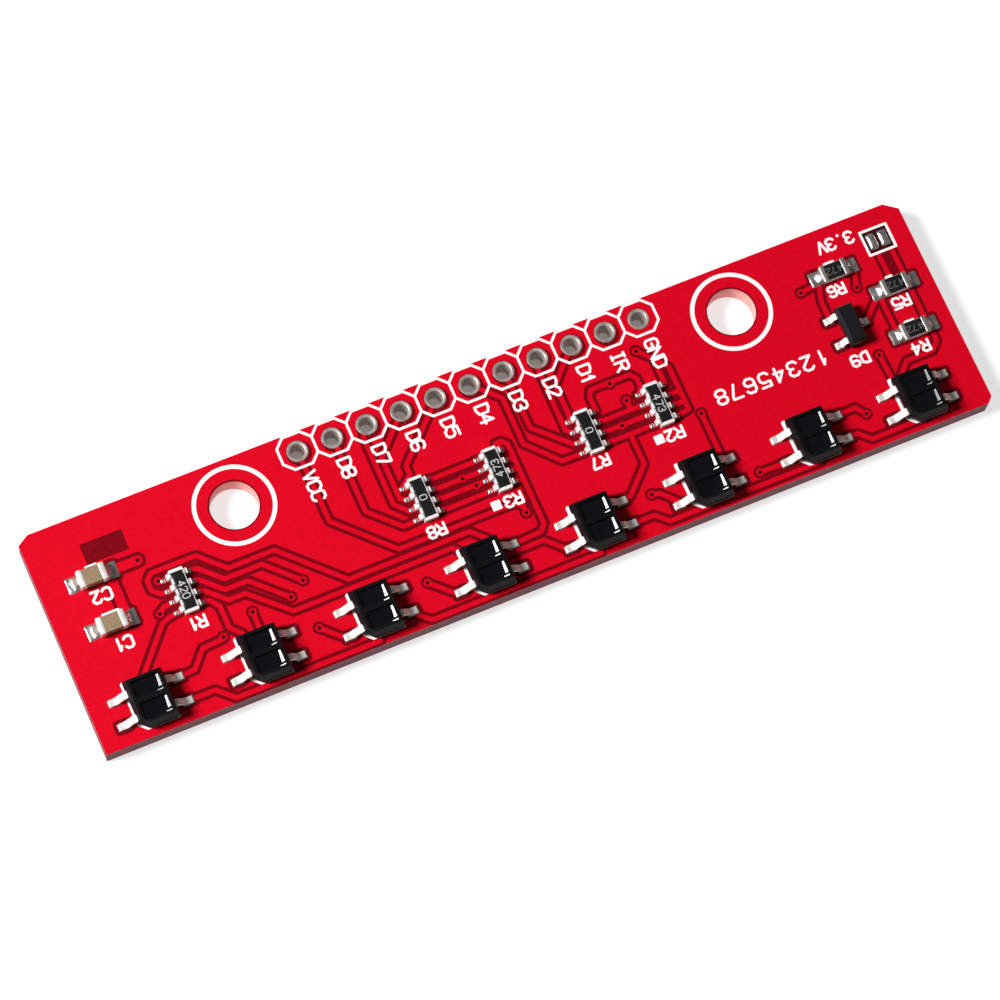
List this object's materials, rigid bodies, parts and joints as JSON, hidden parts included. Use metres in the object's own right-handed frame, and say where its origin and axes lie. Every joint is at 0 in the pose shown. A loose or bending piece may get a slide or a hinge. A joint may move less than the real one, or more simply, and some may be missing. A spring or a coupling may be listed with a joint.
{
  "type": "infrared line sensor board",
  "caption": "Flat red circuit board with a row of surface-mount infrared reflectance sensors, chip parts, round mounting holes and a line of plated header holes.",
  "frame": {"origin": "centre of the board's underside", "axes": "+X along the board's length, +Y across it from the sensor row towards the header row, +Z out of the component side"},
  "size_m": [0.0654, 0.0162, 0.0031],
  "materials": {
    "solder_mask": "satin red solder mask over copper and glass-epoxy laminate, with white printing",
    "plated_copper": "tin-plated copper, dull silver",
    "sensor_housing": "moulded black thermoplastic, satin",
    "sensor_resin": "dark infrared-filter resin, glossy",
    "capacitor_ceramic": "tan fired ceramic, satin",
    "resistor_coating": "black glass overcoat on white alumina",
    "array_ceramic": "black overcoat on white alumina with tinned terminals",
    "tinned_end": "matt tin over nickel",
    "diode_epoxy": "moulded black epoxy, satin",
    "tinned_lead": "tinned lead frame"
  },
  "bodies": {
    "root": {"pcb": "solder_mask", "header_barrel_1": "plated_copper", "header_barrel_2": "plated_copper", "header_barrel_3": "plated_copper", "header_barrel_4": "plated_copper", "header_barrel_5": "plated_copper", "header_barrel_6": "plated_copper", "header_barrel_7": "plated_copper", "header_barrel_8": "plated_copper", "header_barrel_9": "plated_copper", "header_barrel_10": "plated_copper", "header_barrel_11": "plated_copper", "sensor_1_housing": "sensor_housing", "sensor_1_emitter": "sensor_resin", "sensor_1_detector": "sensor_resin", "sensor_2_housing": "sensor_housing", "sensor_2_emitter": "sensor_resin", "sensor_2_detector": "sensor_resin", "sensor_3_housing": "sensor_housing", "sensor_3_emitter": "sensor_resin", "sensor_3_detector": "sensor_resin", "sensor_4_housing": "sensor_housing", "sensor_4_emitter": "sensor_resin", "sensor_4_detector": "sensor_resin", "sensor_5_housing": "sensor_housing", "sensor_5_emitter": "sensor_resin", "sensor_5_detector": "sensor_resin", "sensor_6_housing": "sensor_housing", "sensor_6_emitter": "sensor_resin", "sensor_6_detector": "sensor_resin", "sensor_7_housing": "sensor_housing", "sensor_7_emitter": "sensor_resin", "sensor_7_detector": "sensor_resin", "sensor_8_housing": "sensor_housing", "sensor_8_emitter": "sensor_resin", "sensor_8_detector": "sensor_resin", "capacitor_1_block": "capacitor_ceramic", "capacitor_1_left_end": "tinned_end", "capacitor_1_right_end": "tinned_end", "capacitor_2_block": "capacitor_ceramic", "capacitor_2_left_end": "tinned_end", "capacitor_2_right_end": "tinned_end", "resistor_4_block": "resistor_coating", "resistor_4_left_end": "tinned_end", "resistor_4_right_end": "tinned_end", "resistor_5_block": "resistor_coating", "resistor_5_left_end": "tinned_end", "resistor_5_right_end": "tinned_end", "resistor_6_block": "resistor_coating", "resistor_6_left_end": "tinned_end", "resistor_6_right_end": "tinned_end", "resistor_array_1": "array_ceramic", "resistor_array_2": "array_ceramic", "resistor_array_3": "array_ceramic", "resistor_array_7": "array_ceramic", "resistor_array_8": "array_ceramic", "diode_9_body": "diode_epoxy", "diode_9_lead_1": "tinned_lead", "diode_9_lead_2": "tinned_lead", "diode_9_lead_3": "tinned_lead"}
  },
  "joints": []
}
